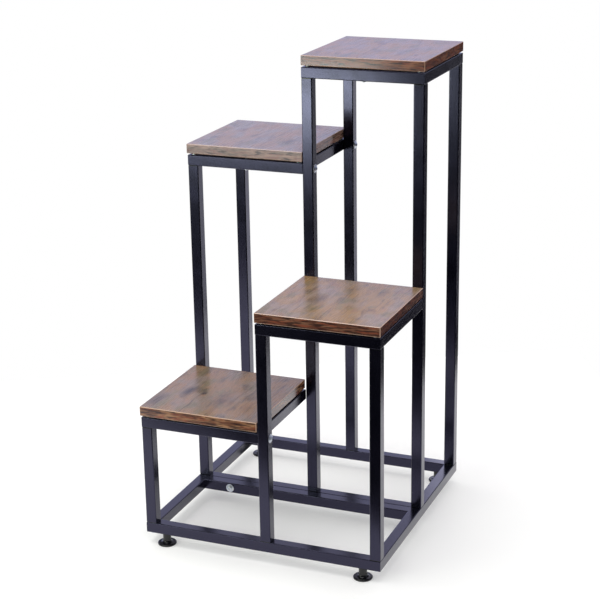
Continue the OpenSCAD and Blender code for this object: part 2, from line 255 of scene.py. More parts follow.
@dataclass(frozen=True)
class Finish:
    """What all finishes share: inks over a ground colour, a gloss and a relief.

    The gloss follows the worn noise and the relief the raised noise. The fixed values are those
    of the shader's own inputs.
    """

    name: str
    ground: str = "#ffffff"
    roughness: float = 0.5
    worn: Grain | None = None
    gloss: Gloss = Gloss(0.5, 0.5)
    raised: Grain | None = None
    height_mm: float = 0.0
    fixed: Fixed = ()

    def inks(self) -> tuple[Ink, ...]:
        """Colours that lie over the ground colour, from the lowest up."""
        return ()

    def read(self, tree: Tree, place: Socket) -> Socket:
        """Place at which the patterns are read."""
        return place

    def marks(self, tree: Tree, place: Socket) -> list[Mark]:
        """Single marks over the inks: the pattern, the span and the colour of each."""
        return []

    def material(self) -> Material:
        """Builds the material.

        Returns:
            The material, with its patterns on Object coordinates.
        """
        material = bpy.data.materials.new(self.name)
        material.use_nodes = True
        tree = material.node_tree
        tree.nodes.clear()
        place = self.read(tree, add_node(tree, "ShaderNodeTexCoord").outputs["Object"])
        grains = dict.fromkeys([*(ink.grain for ink in self.inks()), self.worn, self.raised])
        noise = {grain: grain.draw(tree, place) for grain in grains if grain}
        printed = [(noise[ink.grain], ink.span, ink.colour) for ink in self.inks()]
        colour: Value = linear(self.ground)
        for pattern, span, shade in (*printed, *self.marks(tree, place)):
            colour = tint(tree, pattern, span, colour, linear(shade))
        inputs: Inputs = {"Base Color": colour, "Roughness": self.roughness, **dict(self.fixed)}
        if self.worn:
            matt = {
                "Value": noise[self.worn],
                "From Min": self.gloss.low,
                "From Max": self.gloss.high,
                "To Min": self.gloss.smooth,
                "To Max": self.gloss.dull,
            }
            inputs["Roughness"] = add_node(tree, "ShaderNodeMapRange", matt).outputs["Result"]
        if self.raised:
            height = self.height_mm * MM
            relief = {"Height": noise[self.raised], "Distance": height, "Strength": 1.0}
            inputs["Normal"] = add_node(tree, "ShaderNodeBump", relief).outputs["Normal"]
        shader = add_node(tree, "ShaderNodeBsdfPrincipled", inputs)
        add_node(tree, "ShaderNodeOutputMaterial", {"Surface": shader.outputs["BSDF"]})
        return material


@dataclass(frozen=True)
class PowderCoat(Finish):
    """Black polyester powder coat, sprayed and baked on steel tube.

    It gives the eye a near-black, slightly violet skin with a satin sheen, a fine orange peel,
    and clear reflections only where it is seen at a low angle.
    """

    ground: str = "#020205"
    faded: str = "#06050a"
    worn: Grain = Grain(30, 30, 30, detail=5, seed=5.1)
    gloss: Gloss = Gloss(0.195, 0.255, 0.3, 0.7)
    # Real orange peel is about 1 mm across. It is drawn coarser, so that it shows.
    raised: Grain = Grain(2.5, 2.5, 2.5, detail=1, seed=9.3)
    height_mm: float = 0.003
    fixed: Fixed = (
        ("IOR", 1.58),
        ("Specular Tint", linear("#bcb7ff")),
        ("Coat Weight", 0.35),
        ("Coat Roughness", 0.2),
    )

    def inks(self) -> tuple[Ink, ...]:
        """Clouds of a slightly faded black."""
        return (Ink(self.faded, Grain(70, 70, 70, detail=3, seed=1.7), Span(0.35, 0.7)),)


@dataclass(frozen=True)
class Knot:
    """A dark knot or stain in the printed wood, in millimetres in the stand's own plan."""

    x: float
    y: float
    half_width: float
    half_length: float
    depth: float = 0.5


@dataclass(frozen=True)
class Seam:
    """A printed joint between planks, in millimetres in the stand's own plan."""

    x: float
    front: float
    back: float


# Real pores are about 0.3 mm wide. They are drawn coarser, so that they show. The two upper
# boards have a finer print, with longer pores.
PORES = Grain(1.8, 26, 90, detail=3, seed=7.1)
LONG_PORES = Grain(2.4, 45, 90, detail=3, seed=7.1)


@dataclass(frozen=True)
class BoardPrint(Finish):
    """Melamine laminate with a printed rustic wood, pressed on to chipboard.

    It gives the eye warm brown planks that run front to back, with mauve and olive clouds, fine
    pores and a satin clear skin that veils the print at a low angle.
    """

    ground: str = "#866849"
    mauve: str = "#7d6b62"
    olive: str = "#6a6148"
    dark: str = "#3b322e"
    rose: str = "#95705a"
    backing: str = "#4a382e"
    sway: Grain = Grain(45, 110, 45, detail=2, seed=3.3)
    sway_low: float = 0.2
    sway_high: float = 0.8
    sway_mm: float = 7.0
    streak_share: float = 0.35
    pore_share: float = 0.3
    worn: Grain = PORES
    gloss: Gloss = Gloss(0.25, 0.31, 0.35, 0.7)
    raised: Grain = PORES
    height_mm: float = 0.005
    seam_mm: float = 1.4
    seam_share: float = 0.6
    seams: tuple[Seam, ...] = ()
    knots: tuple[Knot, ...] = ()
    knot_edge: float = 1.3
    knot_heart: float = 0.1
    fixed: Fixed = (("IOR", 1.5),)

    def inks(self) -> tuple[Ink, ...]:
        """Clouds, patches and a glow over the planks, then dark stains, streaks and pores."""
        streaks = Span(0.52, 0.74, self.streak_share)
        return (
            Ink(self.mauve, Grain(40, 75, 90, detail=4, seed=0.4), Span(0.4, 0.62)),
            Ink(self.olive, Grain(24, 42, 90, detail=4, seed=6.2), Span(0.48, 0.7, 0.7)),
            Ink(self.rose, Grain(18, 40, 90, detail=3, seed=8.8), Span(0.52, 0.74, 0.5)),
            Ink(self.dark, Grain(17, 36, 90, detail=4, seed=2.9), Span(0.52, 0.76, 0.45)),
            Ink(self.dark, Grain(4.5, 70, 90, detail=3, seed=4.5), streaks),
            Ink(self.dark, self.raised, Span(0.45, 0.75, self.pore_share)),
        )

    def read(self, tree: Tree, place: Socket) -> Socket:
        """Bends the grain sideways a little.

        Args:
            tree: Nodes of the material.
            place: Place of a point in the stand.

        Returns:
            The place at which the print is read.
        """
        reach = self.sway_mm * MM
        sway = {
            "Value": self.sway.draw(tree, place),
            "From Min": self.sway_low,
            "From Max": self.sway_high,
            "To Min": -reach,
            "To Max": reach,
        }
        shift = add_node(tree, "ShaderNodeMapRange", sway)
        sideways = add_node(tree, "ShaderNodeCombineXYZ", {"X": shift.outputs["Result"]})
        both = {0: place, 1: sideways.outputs["Vector"]}
        return add_node(tree, "ShaderNodeVectorMath", both, operation="ADD").outputs["Vector"]

    def near_seam(self, tree: Tree, place: Socket, seam: Seam) -> Socket:
        """Marks a joint between planks.

        Args:
            tree: Nodes of the material.
            place: Place at which the print is read.
            seam: The joint.

        Returns:
            1 in the joint, and 0 beside it.
        """
        parts = add_node(tree, "ShaderNodeSeparateXYZ", {"Vector": place}).outputs
        middle, half = (seam.front + seam.back) / 2, (seam.back - seam.front) / 2
        limits = (
            {0: parts["X"], 1: seam.x * MM, 2: self.seam_mm / 2 * MM},
            {0: parts["Y"], 1: middle * MM, 2: half * MM},
        )
        near = [add_node(tree, "ShaderNodeMath", limit, operation="COMPARE") for limit in limits]
        both = {number: node.outputs["Value"] for number, node in enumerate(near)}
        return add_node(tree, "ShaderNodeMath", both, operation="MULTIPLY").outputs["Value"]

    @staticmethod
    def from_knot(tree: Tree, place: Socket, knot: Knot) -> Socket:
        """Measures how far a point is from a knot.

        Args:
            tree: Nodes of the material.
            place: Place at which the print is read.
            knot: The knot's place and size.

        Returns:
            0 in the knot's heart and 1 at its edge.
        """
        heart = (knot.x * MM, knot.y * MM, 0.0)
        size = (per_metre(knot.half_width), per_metre(knot.half_length), 0.0)
        far = place
        for step, value in (("SUBTRACT", heart), ("MULTIPLY", size)):
            moved = add_node(tree, "ShaderNodeVectorMath", {0: far, 1: value}, operation=step)
            far = moved.outputs["Vector"]
        return add_node(tree, "ShaderNodeVectorMath", {0: far}, operation="LENGTH").outputs["Value"]

    @staticmethod
    def seen_from_below(tree: Tree) -> Socket:
        """Finds the underside, which has a plain backing sheet.

        Args:
            tree: Nodes of the material.

        Returns:
            1 on the underside, and 0 elsewhere.
        """
        normal = add_node(tree, "ShaderNodeNewGeometry").outputs["True Normal"]
        up = add_node(tree, "ShaderNodeSeparateXYZ", {"Vector": normal}).outputs["Z"]
        below = add_node(tree, "ShaderNodeMath", {0: up, 1: DOWNWARD}, operation="LESS_THAN")
        return below.outputs["Value"]

    def marks(self, tree: Tree, place: Socket) -> list[Mark]:
        """Draws the joints, the knots and the backing sheet.

        Args:
            tree: Nodes of the material.
            place: Place at which the print is read.

        Returns:
            The pattern, the span and the colour of each mark.
        """
        joint = Span(0.0, 1.0, self.seam_share)
        joints = [(self.near_seam(tree, place, seam), joint, self.dark) for seam in self.seams]
        knots = []
        for knot in self.knots:
            fade = Span(self.knot_edge, self.knot_heart, knot.depth)
            knots.append((self.from_knot(tree, place, knot), fade, self.dark))
        return [*joints, *knots, (self.seen_from_below(tree), MASK, self.backing)]


@dataclass(frozen=True)
class EdgeBanding(Finish):
    """Printed edge banding, glued round a board, with its corners scraped off by hand.

    It gives the eye an orange-brown strip with dark and red streaks along it, and thin pale tan
    lines on its bevels: partly where the scraper has opened its edges, and partly a painted
    highlight along them.
    """

    ground: str = "#69442e"
    dark: str = "#2c1a14"
    red: str = "#7d412a"
    tan: str = "#98704f"
    # Pale colour of every bevel: the core that the scraper opened, and a painted highlight along
    # the edges.
    scraped_and_highlight: str = "#c4a58c"
    bevel_below: float = 0.9
    dark_from: float = 0.47
    dark_over: float = 0.13
    roughness: float = 0.2
    # Real pores are about 0.2 mm high. They are drawn coarser, so that they show.
    raised: Grain = Grain(9, 0.9, 1, detail=2, seed=2.2)
    height_mm: float = 0.02
    fixed: Fixed = (
        ("IOR", 1.5),
        ("Specular Tint", linear("#dadfff")),
        ("Coat Weight", 0.6),
        ("Coat Roughness", 0.15),
    )

    def inks(self) -> tuple[Ink, ...]:
        """Tan clouds and red flames, then dark streaks and pores."""
        streaks = Span(self.dark_from, self.dark_from + self.dark_over, 0.85)
        return (
            Ink(self.tan, Grain(45, 9, 1, detail=2, seed=0.9), Span(0.42, 0.62)),
            Ink(self.red, Grain(24, 4.5, 1, detail=3, seed=4.1), Span(0.48, 0.62, 0.8)),
            Ink(self.dark, Grain(26, 2.8, 1, detail=4, seed=7.7), streaks),
            Ink(self.dark, self.raised, Span(0.5, 0.7, 0.5)),
        )

    def read(self, tree: Tree, place: Socket) -> Socket:
        """Follows a strip, whichever way it runs.

        Args:
            tree: Nodes of the material.
            place: Place of a point in the stand.

        Returns:
            A vector of the way along the strip, the height and 0.
        """
        parts = add_node(tree, "ShaderNodeSeparateXYZ", {"Vector": place}).outputs
        along = add_node(tree, "ShaderNodeMath", {0: parts["X"], 1: parts["Y"]}, operation="ADD")
        way = {"X": along.outputs["Value"], "Y": parts["Z"]}
        return add_node(tree, "ShaderNodeCombineXYZ", way).outputs["Vector"]

    def marks(self, tree: Tree, place: Socket) -> list[Mark]:
        """Finds the bevels of the strip, which face between two axes, and paints them pale: scraped
        edges, and a painted highlight.

        Args:
            tree: Nodes of the material.
            place: Place at which the print is read, which doesn't matter here.

        Returns:
            The mark of the bevels, their span and their colour.
        """
        normal = add_node(tree, "ShaderNodeNewGeometry").outputs["True Normal"]
        size = add_node(tree, "ShaderNodeVectorMath", {0: normal}, operation="ABSOLUTE")
        parts = add_node(tree, "ShaderNodeSeparateXYZ", {"Vector": size.outputs["Vector"]}).outputs
        most = parts["X"]
        for part in (parts["Y"], parts["Z"]):
            larger = add_node(tree, "ShaderNodeMath", {0: most, 1: part}, operation="MAXIMUM")
            most = larger.outputs["Value"]
        limit = {0: most, 1: self.bevel_below}
        bevel = add_node(tree, "ShaderNodeMath", limit, operation="LESS_THAN")
        # Every bevel gets the same pale colour, which is partly a painted highlight, whichever way
        # it faces.
        return [(bevel.outputs["Value"], MASK, self.scraped_and_highlight)]


@dataclass(frozen=True)
class MouldedPlastic(Finish):
    """Black polypropylene, injection moulded in a polished mould.

    It gives the eye a deep black with a bright, slightly wavy shine and faint swirl marks.
    """

    ground: str = "#0b0b0f"
    # Real scuffs are finer than 0.5 mm. They are drawn coarser, so that they show.
    worn: Grain = Grain(2.4, 2.4, 1.2, detail=4, seed=8.4)
    gloss: Gloss = Gloss(0.14, 0.3)
    raised: Grain = Grain(6, 6, 6, detail=2, seed=3.9)
    height_mm: float = 0.05
    fixed: Fixed = (("IOR", 1.49),)


# The real crystals of zinc plate are finer than 0.1 mm. They are drawn coarser, so that they show.
CRYSTALS = Grain(0.5, 0.5, 0.5, detail=3, seed=2.6)


@dataclass(frozen=True)
class ZincPlate(Finish):
    """Bright zinc plate, passivated, on pressed steel.

    It gives the eye a cool silver with a faint blue and straw mottling and soft highlights.
    """

    ground: str = "#eef1f6"
    blue: str = "#d5dff0"
    straw: str = "#ece8dc"
    worn: Grain = CRYSTALS
    gloss: Gloss = Gloss(0.36, 0.54)
    raised: Grain = CRYSTALS
    height_mm: float = 0.01
    fixed: Fixed = (("Metallic", 1.0),)

    def inks(self) -> tuple[Ink, ...]:
        """Blue and straw mottling."""
        return (
            Ink(self.blue, Grain(3, 3, 3, detail=2, seed=6.6), Span(0.4, 0.65)),
            Ink(self.straw, Grain(4.5, 4.5, 4.5, detail=2, seed=1.1), Span(0.55, 0.75, 0.6)),
        )


@dataclass(frozen=True)
class ClearVinyl(Finish):
    """Soft clear vinyl of self-adhesive pads.

    It gives the eye a small milky drop that glows against the black steel.
    """

    ground: str = "#eef2f4"
    worn: Grain = Grain(1.5, 1.5, 1.5, detail=2, seed=5.5)
    gloss: Gloss = Gloss(0.13, 0.28)
    fixed: Fixed = (
        ("IOR", 1.53),
        ("Transmission Weight", 0.55),
        ("Subsurface Weight", 0.2),
        ("Subsurface Scale", 1.5 * MM),
    )


def dress(nodes: Iterable[str], material: Material) -> int:
    """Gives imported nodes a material.

    Args:
        nodes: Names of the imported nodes.
        material: The finish.

    Returns:
        The number of nodes dressed.
    """
    count = 0
    for name in nodes:
        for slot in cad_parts[name].material_slots:
            slot.material = material
        count += 1
    return count


def pick(*objects: Piece) -> None:
    """Makes these objects the only selected ones, and the last one active."""
    bpy.ops.object.select_all(action="DESELECT")
    for obj in objects:
        obj.select_set(True)
        bpy.context.view_layer.objects.active = obj


def settle(obj: Piece) -> None:
    """Moves the place, turn and size of an object into its mesh."""
    pick(obj)
    bpy.ops.object.transform_apply(location=True, rotation=True, scale=True)


def draw_outline(name: str, outline: Sequence[Point]) -> Piece:
    """Draws an outline point by point, and leaves it open in edit mode.

    Args:
        name: Name of the piece.
        outline: Radius and height of each point, in metres.

    Returns:
        The object with the outline, at the origin.
    """
    pick()
    bpy.ops.mesh.primitive_plane_add(size=1 * MM, location=(0, 0, 0))
    obj = bpy.context.object
    obj.name = name
    bpy.ops.object.mode_set(mode="EDIT")
    bpy.ops.mesh.select_all(action="SELECT")
    bpy.ops.mesh.merge(type="CENTER")
    bpy.ops.transform.translate(value=(outline[0][0], 0, outline[0][1]))
    for here, there in zip(outline, outline[1:]):
        step = (there[0] - here[0], 0, there[1] - here[1])
        bpy.ops.mesh.extrude_vertices_move(TRANSFORM_OT_translate={"value": step})
    return obj


def close_shell() -> None:
    """Merges doubles of the mesh in edit mode, turns its faces outwards, and leaves edit mode."""
    bpy.ops.mesh.select_all(action="SELECT")
    bpy.ops.mesh.remove_doubles(threshold=WELD_DISTANCE)
    bpy.ops.mesh.normals_make_consistent(inside=False)
    bpy.ops.object.mode_set(mode="OBJECT")


def turned(name: str, outline: Sequence[Point], facets: int) -> Piece:
    """Turns an outline round the Z axis, as on a lathe.

    Args:
        name: Name of the piece.
        outline: Radius and height of each point, in metres, from the axis back to the axis, or
            closed on itself for a ring.
        facets: Facets in a full turn.

    Returns:
        The turned solid.
    """
    obj = draw_outline(name, outline)
    bpy.ops.mesh.select_all(action="SELECT")
    bpy.ops.mesh.spin(steps=facets, angle=math.tau, center=(0, 0, 0), axis=(0, 0, 1))
    close_shell()
    return obj


def hexagon_radius(across_flats: float) -> float:
    """Distance from the middle of a hexagon to its corners."""
    return across_flats / 2 / math.cos(math.pi / 6)


def prism(name: str, across_flats: float, low: float, high: float) -> Piece:
    """Makes a hexagonal bar, which is cut further.

    Args:
        name: Name of the piece.
        across_flats: Width between opposite flats, in metres.
        low: Height of its lower end.
        high: Height of its upper end.

    Returns:
        The bar.
    """
    pick()
    bpy.ops.mesh.primitive_cylinder_add(
        vertices=6,
        radius=hexagon_radius(across_flats),
        depth=high - low,
        location=(0, 0, (low + high) / 2),
    )
    obj = bpy.context.object
    obj.name = name
    settle(obj)
    return obj


def carve(piece: Piece, tool: Piece, way: Carve) -> None:
    """Changes a piece with a tool shape, and throws the tool away.

    Args:
        piece: The piece.
        tool: A closed shape.
        way: What the tool does.
    """
    modifier = piece.modifiers.new("carve", "BOOLEAN")
    modifier.operation = way.value
    modifier.solver = "EXACT"
    modifier.object = tool
    pick(piece)
    bpy.ops.object.modifier_apply(modifier=modifier.name)
    bpy.data.objects.remove(tool)


def smooth(piece: Piece) -> None:
    """Shades a piece smooth, apart from its sharp edges."""
    pick(piece)
    bpy.ops.object.shade_smooth_by_angle(angle=math.radians(SHARP_DEG))


def threaded_rod(name: str, diameter: float, pitch: float, length: float) -> Piece:
    """Makes a threaded rod with chamfered ends, standing on z = 0.

    Args:
        name: Name of the piece.
        diameter: Outer diameter of the thread.
        pitch: Height of one turn.
        length: Length of the rod.

    Returns:
        The rod.
    """
    crest = diameter / 2
    root = crest - THREAD_DEPTH * pitch
    rod = draw_outline(name, [(root, -pitch), (crest, -pitch / 2), (root, 0.0)])
    bpy.ops.object.mode_set(mode="OBJECT")
    screw = rod.modifiers.new("thread", "SCREW")
    screw.steps = screw.render_steps = THREAD_FACETS
    screw.screw_offset = pitch
    screw.iterations = math.ceil(length / pitch) + 2
    screw.use_merge_vertices = True
    screw.merge_threshold = WELD_DISTANCE
    pick(rod)
    bpy.ops.object.modifier_apply(modifier=screw.name)
    bpy.ops.object.mode_set(mode="EDIT")
    bpy.ops.mesh.select_all(action="SELECT")
    bpy.ops.mesh.remove_doubles(threshold=WELD_DISTANCE)
    for height, side in ((0.0, -1), (length, 1)):
        bpy.ops.mesh.select_all(action="SELECT")
        bpy.ops.mesh.bisect(
            plane_co=(0, 0, height), plane_no=(0, 0, side), use_fill=True, clear_outer=True
        )
    close_shell()
    reach = crest + THREAD_CLEAR
    chamfer = THREAD_CHAMFER * pitch
    blank = [
        (0.0, 0.0),
        (reach - chamfer, 0.0),
        (reach, chamfer),
        (reach, length - chamfer),
        (reach - chamfer, length),
        (0.0, length),
    ]
    carve(rod, turned("thread_blank", blank, THREAD_FACETS), Carve.KEEP_COMMON)
    return rod


def arc(centre: Point, radius: float, start: float, end: float, steps: int) -> list[Point]:
    """Points on an arc of an outline.

    Args:
        centre: Radius and height of the arc's centre.
        radius: Radius of the arc.
        start: First angle in degrees, from outwards towards upwards.
        end: Last angle in degrees.
        steps: Number of steps along it.

    Returns:
        The points, from start to end.
    """
    angles = [math.radians(start + (end - start) * i / steps) for i in range(steps + 1)]
    return [(centre[0] + radius * math.cos(a), centre[1] + radius * math.sin(a)) for a in angles]


def seated(at: Sequence[float], facing: Facing = Facing.DOWN) -> Matrix:
    """Place of a fastener that is seated at a point, with its head facing away from there."""
    return Matrix.Translation(at) @ facing.value


@dataclass(frozen=True)
class Extent:
    """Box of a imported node."""

    low: Vector
    high: Vector

    @classmethod
    def of(cls, node: str) -> "Extent":
        """Box of the node with this name."""
        return cls(*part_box(node))

    @property
    def centre(self) -> Vector:
        """Middle of the box."""
        return (self.low + self.high) / 2

    @property
    def size(self) -> Vector:
        """Size of the box."""
        return self.high - self.low


@dataclass
class Hardware:
    """Pieces of bright hardware that are modelled once and copied to their places."""

    finish: Material
    made: int = 0

    def fit(
        self,
        model: Piece,
        places: Sequence[Matrix],
        node: str,
        body: Body = Body.FRAME,
    ) -> None:
        """Copies a model to its places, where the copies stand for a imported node.

        Args:
            model: The modelled piece.
            places: Where each copy goes.
            node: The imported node.
            body: The body that the copies ride on.
        """
        for number, place in enumerate(places, start=1):
            pick(model)
            bpy.ops.object.duplicate(linked=False)
            copy = bpy.context.object
            copy.name = f"{node}_{number}" if len(places) > 1 else f"threaded_{node}"
            copy.matrix_world = place
            settle(copy)
            copy.data.materials.clear()
            copy.data.materials.append(self.finish)
            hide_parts(node)
            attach(copy, body.value)
            self.made += 1
        bpy.data.objects.remove(model)


@dataclass
class SocketBolts(Hardware):
    """M6 bolts with a hexagon socket."""

    shank: float = 6.0 * MM
    pitch: float = 1.0 * MM
    socket: float = 4.0 * MM
    socket_depth: float = 1.6 * MM
    overlap: float = 1.0 * MM

    def bolt(
        self, head: Sequence[Point], top: float, plain: float, length: float, facets: int
    ) -> Piece:
        """Turns a bolt, and gives it its socket and its thread.

        Args:
            head: Outline of the head, from its middle to the shank.
            top: Height of the head's top, below z = 0.
            plain: Length of the shank without thread.
            length: Length of the shank, up +Z.
            facets: Facets in a full turn.

        Returns:
            The bolt.
        """
        bolt = turned("bolt", [*head, (self.shank / 2, plain), (0.0, plain)], facets)
        hollow = prism("socket", self.socket, top - self.overlap, top + self.socket_depth)
        carve(bolt, hollow, Carve.AWAY)
        rod = threaded_rod("bolt_thread", self.shank, self.pitch, length - plain + self.overlap)
        rod.location.z = plain - self.overlap
        settle(rod)
        carve(bolt, rod, Carve.WELD_ON)
        smooth(bolt)
        return bolt


@dataclass
class FlangeBolts(SocketBolts):
    """Bolts with a flange and a domed head, through the legs and through the double rail."""

    flange: float = 16.0 * MM
    flange_h: float = 1.2 * MM
    dome: float = 12.0 * MM
    dome_h: float = 3.2 * MM
    neck: float = 0.3 * MM
    neck_h: float = 0.4 * MM
    past_leg: float = 8.2 * MM
    past_rails: float = 7.0 * MM

    def model(self, length: float) -> Piece:
        """Models one bolt with its head below z = 0 and its shank up +Z.

        Args:
            length: Length of the shank, whose last two thirds are threaded.

        Returns:
            The bolt.
        """
        top = -self.flange_h - self.dome_h
        dome_r = (self.dome**2 / 4 + self.dome_h**2) / (2 * self.dome_h)
        reach = math.degrees(math.asin(self.dome / 2 / dome_r))
        lip = self.flange_h / 2
        head = [
            *arc((0.0, top + dome_r), dome_r, start=-90, end=-90 + reach, steps=8),
            *arc((self.flange / 2 - lip, -lip), lip, start=-70, end=90, steps=6),
            (self.shank / 2 + self.neck, 0.0),
            (self.shank / 2, self.neck_h),
        ]
        return self.bolt(head, top, length / 3, length, facets=40)

    def tower_places(self) -> list[Matrix]:
        """Where the bolts pass through a leg into the ring beside it.

        Returns:
            A place for each bolt, with its head on the leg.
        """
        joints = (
            ("leg_front_middle", "tier_1_right_rail", Facing.RIGHT),
            ("leg_centre", "tier_3_right_rail", Facing.RIGHT),
            ("leg_back_middle", "tier_3_right_rail", Facing.RIGHT),
            ("leg_middle_left", "tier_1_back_rail", Facing.BACK),
            ("leg_centre", "tier_2_back_rail", Facing.BACK),
            ("leg_middle_right", "tier_2_back_rail", Facing.BACK),
        )
        places = []
        for leg, rail, facing in joints:
            post = Extent.of(leg)
            seat = post.centre
            seat.z = Extent.of(rail).centre.z
            if facing is Facing.RIGHT:
                seat.x = post.high.x
            else:
                seat.y = post.high.y
            places.append(seated(seat, facing))
        return places

    def base_places(self) -> list[Matrix]:
        """Where the two bolts pass through the double rail across the base.

        Returns:
            A place for each bolt, with its head on the front of the double rail.
        """
        rail = Extent.of("front_base_back_rail")
        both = Extent.of("base_bolts")
        heads = (both.low.x + self.flange / 2, both.high.x - self.flange / 2)
        return [seated((x, rail.low.y, rail.centre.z), Facing.FRONT) for x in heads]

    def build(self) -> int:
        """Models the tower bolts and the base bolts.

        Returns:
            The number of bolts.
        """
        tube = Extent.of("leg_centre").size.x
        self.fit(self.model(tube + self.past_leg), self.tower_places(), "tower_bolts")
        self.fit(self.model(2 * tube + self.past_rails), self.base_places(), "base_bolts")
        return self.made


@dataclass
class LegBolts(SocketBolts):
    """Bolts with a thin flat head, one in each end of each leg."""

    head: float = 12.0 * MM
    head_h: float = 2.5 * MM
    edge: float = 0.5 * MM
    threaded: float = 15.0 * MM
    past_rail: float = 14.0 * MM

    def model(self, length: float) -> Piece:
        """Models one bolt with its head below z = 0 and its shank up +Z.

        Args:
            length: Length of the shank.

        Returns:
            The bolt.
        """
        top = -self.head_h
        corner = (self.head / 2 - self.edge, top + self.edge)
        head = [
            (0.0, top),
            *arc(corner, self.edge, start=-90, end=0, steps=4),
            (self.head / 2, -self.edge / 2),
            (self.head / 2 - self.edge / 2, 0.0),
            (self.shank / 2, 0.0),
        ]
        return self.bolt(head, top, length - self.threaded, length, facets=32)

    def build(self) -> int:
        """Models a bolt below and above each leg.

        Returns:
            The number of bolts.
        """
        base = Extent.of("front_base_front_rail")
        tube = base.size.z
        places = []
        for leg in LEGS:
            post = Extent.of(leg)
            gap = post.low.z - base.high.z
            upper = post.high.z + gap + tube
            places.append(seated((post.centre.x, post.centre.y, base.low.z)))
            places.append(seated((post.centre.x, post.centre.y, upper), Facing.UP))
        self.fit(self.model(tube + self.past_rail), places, "leg_bolts")
        return self.made


@dataclass
class BaseNuts(Hardware):
    """Loose M6 nuts on the base bolts, chamfered on both faces."""

    across_flats: float = 10.0 * MM
    bore: float = 6.1 * MM
    chamfer: float = 0.6 * MM
    face_share: float = 0.97
    clear: float = 0.1 * MM

    def model(self, height: float) -> Piece:
        """Models one nut standing on z = 0.

        Args:
            height: Height of the nut.

        Returns:
            The nut.
        """
        corner = hexagon_radius(self.across_flats) + self.clear
        flat = self.across_flats / 2 * self.face_share
        bore = self.bore / 2
        nut = prism("nut", self.across_flats, 0.0, height)
        blank = [
            (bore, self.chamfer),
            (bore + self.chamfer, 0.0),
            (flat, 0.0),
            (corner, self.chamfer),
            (corner, height - self.chamfer),
            (flat, height),
            (bore + self.chamfer, height),
            (bore, height - self.chamfer),
            (bore, self.chamfer),
        ]
        carve(nut, turned("nut_blank", blank, facets=48), Carve.KEEP_COMMON)
        smooth(nut)
        return nut

    def build(self) -> int:
        """Models the nuts behind the double rail.

        Returns:
            The number of nuts.
        """
        rail = Extent.of("rear_base_front_rail")
        both = Extent.of("base_nuts")
        corner = hexagon_radius(self.across_flats)
        middles = (both.low.x + corner, both.high.x - corner)
        places = [seated((x, rail.high.y, rail.centre.z), Facing.FRONT) for x in middles]
        self.fit(self.model(both.size.y), places, "base_nuts")
        return self.made


@dataclass
class BoardScrews(Hardware):
    """Chipboard screws with a pan head and a cross recess, driven up into the boards."""

    shank: float = 4.0 * MM
    head: float = 8.0 * MM
    head_h: float = 2.6 * MM
    crown: float = 1.6 * MM
    round_r: float = 1.5 * MM
    rim: float = 0.55 * MM
    rim_in: float = 0.2 * MM
    recess: float = 1.0 * MM
    recess_depth: float = 1.3 * MM
    recess_past_shank: float = 0.4 * MM
    point: float = 3.0 * MM
    bite: float = 12.0 * MM

    def model(self, length: float) -> Piece:
        """Models one screw with its head below z = 0 and its shank up +Z.

        Args:
            length: Length of the shank.

        Returns:
            The screw.
        """
        top, side = -self.head_h, self.head / 2
        corner = (side - self.round_r, top + self.round_r)
        outline = [
            (0.0, top),
            (side - self.crown, top),
            *arc(corner, self.round_r, start=-85, end=0, steps=6),
            (side, -self.rim),
            (side - self.rim_in, 0.0),
            (self.shank / 2, 0.0),
            (self.shank / 2, length - self.point),
            (0.0, length),
        ]
        screw = turned("board_screw", outline, facets=32)
        for turn in (0.0, math.pi / 2):
            pick()
            bpy.ops.mesh.primitive_cube_add(size=1, location=(0, 0, top), rotation=(0, 0, turn))
            blade = bpy.context.object
            across = self.shank + self.recess_past_shank
            blade.scale = (across, self.recess, 2 * self.recess_depth)
            settle(blade)
            carve(screw, blade, Carve.AWAY)
        smooth(screw)
        return screw

    def build(self) -> int:
        """Models two screws under each board.

        Returns:
            The number of screws.
        """
        ends = ("front", "back")
        rails = [Extent.of(f"tier_{tier}_{end}_rail") for tier in TIERS for end in ends]
        places = [seated((rail.centre.x, rail.centre.y, rail.low.z)) for rail in rails]
        tip = Extent.of("tier_1_board").low.z + self.bite
        self.fit(self.model(tip - rails[0].low.z), places, "board_screws")
        return self.made


@dataclass
class Studs(Hardware):
    """M8 studs of the levelling feet, threaded over their whole length."""

    diameter: float = 8.0 * MM
    pitch: float = 1.25 * MM

    def build(self) -> int:
        """Models a stud for each foot, which rides with it.

        Returns:
            The number of studs.
        """
        for body in FEET:
            node = body.value.replace("foot", "stud")
            old = Extent.of(node)
            rod = threaded_rod("stud", self.diameter, self.pitch, old.size.z)
            smooth(rod)
            self.fit(rod, [seated((old.centre.x, old.centre.y, old.low.z))], node, body)
        return self.made


@dataclass
class SteelFrame:
    """The black tubes: two base frames, nine legs and four rings."""

    coat: PowderCoat = PowderCoat("black_powder_coat")

    def dress(self) -> int:
        """Coats all tubes.

        Returns:
            The number of tubes.
        """
        bases = [f"{base}_base_{side}_rail" for base in ("front", "rear") for side in SIDES]
        rings = [f"tier_{tier}_{side}_rail" for tier in TIERS for side in SIDES]
        return dress([*bases, *LEGS, *rings], self.coat.material())


